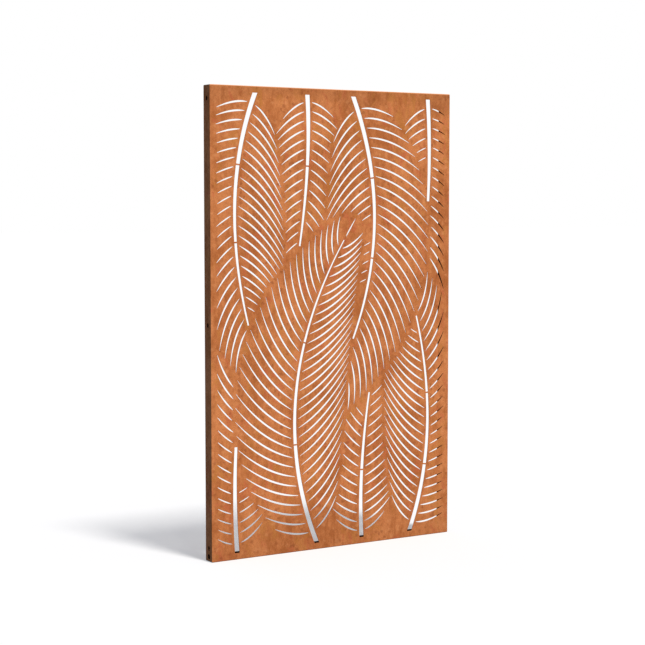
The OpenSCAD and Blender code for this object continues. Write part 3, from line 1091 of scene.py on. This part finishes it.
def set_world(ambient):
    """A room that is white to the eye and dimmer to diffuse light."""
    world = bpy.data.worlds.new("Plain room")
    bpy.context.scene.world = world
    tree = empty_tree(world)
    shown = mix_colour(tree, to_the_eye(tree), toned(ambient), (1, 1, 1, 1))
    background = add_node(tree, "ShaderNodeBackground", {"Color": shown})
    add_node(tree, "ShaderNodeOutputWorld", {"Surface": background})


def add_floor(shading, size=60.0):
    """A wide pale floor under the screen's foot."""
    built = bmesh.new()
    bmesh.ops.create_grid(built, x_segments=2, y_segments=2, size=size)
    mesh = store(built, bpy.data.meshes.new("floor"))
    mesh.materials.append(floor_material(shading))
    floor = new_object("floor", mesh)
    floor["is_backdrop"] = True


def add_camera(stage):
    """The camera at the photograph's viewing angle."""
    data = bpy.data.cameras.new("Photo view")
    data.lens = stage.lens
    data.sensor_width = 36.0
    camera = new_object("Photo view", data)
    camera.location = stage.camera_place
    camera.rotation_euler = (math.pi / 2 - stage.camera_pitch, 0.0, -stage.camera_azimuth)
    bpy.context.scene.camera = camera


# ---- Operators ----

class SCREEN_OT_face_sheet(bpy.types.Operator):
    """Dress the cut face sheet with smooth slots, a rounded rim and its patina"""

    bl_idname = "screen.face_sheet"
    bl_label = "Face Sheet"

    def execute(self, context):
        scene = context.scene
        material = rust_material(scene.screen_finish, "Rusted face")
        add_piece(face_sheet_mesh(scene.screen_sheet), material, "rusted_face", "face_sheet")
        return {"FINISHED"}


class SCREEN_OT_channels(bpy.types.Operator):
    """Round the folds of the four edge channels and give them their patina"""

    bl_idname = "screen.channels"
    bl_label = "Edge Channels"

    def execute(self, context):
        scene = context.scene
        finish = scene.screen_finish
        # The channels' patina is a painted-shade copy of the face's
        material = rust_material(finish, "Rusted channel", finish.frame_shade_tone)
        for node in CHANNELS:
            mesh = bevelled(node, scene.screen_frame, fold_radii)
            add_piece(mesh, material, "rusted_channel", node)
        return {"FINISHED"}


class SCREEN_OT_corner_plates(bpy.types.Operator):
    """Break the edges of the corner plates and give them their patina"""

    bl_idname = "screen.corner_plates"
    bl_label = "Corner Plates"

    def execute(self, context):
        scene = context.scene
        finish = scene.screen_finish
        # The plates' patina is a painted-shade copy of the face's
        material = rust_material(finish, "Rusted plate", finish.frame_shade_tone, runs=0.1, specks=1.0)
        for node in PLATES:
            add_piece(bevelled(node, scene.screen_frame), material, "rusted_plate", node)
        return {"FINISHED"}


class SCREEN_OT_rivets(bpy.types.Operator):
    """Set a countersunk rivet in each hole of the corner plates"""

    bl_idname = "screen.rivets"
    bl_label = "Corner Rivets"

    def execute(self, context):
        add_fixings(context.scene, "corner_rivets", rivet_mesh(), "Rivet steel", "rivet_steel")
        return {"FINISHED"}


class SCREEN_OT_studs(bpy.types.Operator):
    """Set a threaded weld stud on each of the sheet's stud places"""

    bl_idname = "screen.studs"
    bl_label = "Weld Studs"

    def execute(self, context):
        stud = stud_mesh(context.scene.screen_fixings)
        add_fixings(context.scene, "face_studs", stud, "Stud steel", "stud_steel")
        return {"FINISHED"}


class SCREEN_OT_washers(bpy.types.Operator):
    """Set a punched washer over each stud"""

    bl_idname = "screen.washers"
    bl_label = "Stud Washers"

    def execute(self, context):
        add_fixings(context.scene, "stud_washers", washer_mesh(), "Dull zinc", "zinc_fixing")
        return {"FINISHED"}


class SCREEN_OT_nuts(bpy.types.Operator):
    """Set a chamfered hexagon nut on each stud"""

    bl_idname = "screen.nuts"
    bl_label = "Stud Nuts"

    def execute(self, context):
        nut = nut_mesh(context.scene.screen_fixings)
        add_fixings(context.scene, "stud_nuts", nut, "Dull zinc", "zinc_fixing")
        return {"FINISHED"}


class SCREEN_OT_stage(bpy.types.Operator):
    """Set up the camera, the lamps, the room and the pale floor"""

    bl_idname = "screen.stage"
    bl_label = "Stage"

    def execute(self, context):
        stage = context.scene.screen_stage
        add_camera(stage)
        add_floor(stage.floor_shadow)
        set_world(stage.ambient)
        for name, side in (("Key lower", -0.5), ("Key upper", 0.5)):
            add_sun(name, stage.key_azimuth, stage.key_elevation + side * stage.key_rise,
                    stage.key_spread, stage.key_strength / 2)
        screen = bpy.data.collections.new("Screen only")
        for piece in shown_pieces():
            screen.objects.link(piece)
        for name, angles, strength in (("Fill", FILL_LAMP, stage.fill_strength),
                                       ("Rim", RIM_LAMP, stage.rim_strength)):
            add_sun(name, *map(math.radians, angles), strength, only=screen)
        context.scene.view_settings.view_transform = "Standard"
        return {"FINISHED"}


OPERATORS = [
    SCREEN_OT_face_sheet, SCREEN_OT_channels, SCREEN_OT_corner_plates, SCREEN_OT_rivets,
    SCREEN_OT_studs, SCREEN_OT_washers, SCREEN_OT_nuts, SCREEN_OT_stage,
]


class SCREEN_PT_pieces(bpy.types.Panel):
    """Lists the screen's pieces, its stage and their settings"""

    bl_idname = "SCREEN_PT_pieces"
    bl_label = "Garden Screen"
    bl_space_type = "VIEW_3D"
    bl_region_type = "UI"
    bl_category = "Screen"

    def draw(self, context):
        for operator in OPERATORS:
            self.layout.operator(operator.bl_idname)
        for name, settings in SETTINGS.items():
            box = self.layout.box()
            for field in settings.__annotations__:
                box.prop(getattr(context.scene, name), field)


CLASSES = [*SETTINGS.values(), *OPERATORS, SCREEN_PT_pieces]


def register():
    """Makes the classes known, and puts each group of settings on the scene."""
    for cls in CLASSES:
        bpy.utils.register_class(cls)
    for name, settings in SETTINGS.items():
        setattr(bpy.types.Scene, name, bpy.props.PointerProperty(type=settings))


def unregister():
    """Takes back what register did."""
    for name in SETTINGS:
        delattr(bpy.types.Scene, name)
    for cls in reversed(CLASSES):
        bpy.utils.unregister_class(cls)


def main():
    """Makes every piece and the stage."""
    register()
    for operator in OPERATORS:
        category, name = operator.bl_idname.split(".")
        getattr(getattr(bpy.ops, category), name)()


if __name__ == "__main__":
    main()
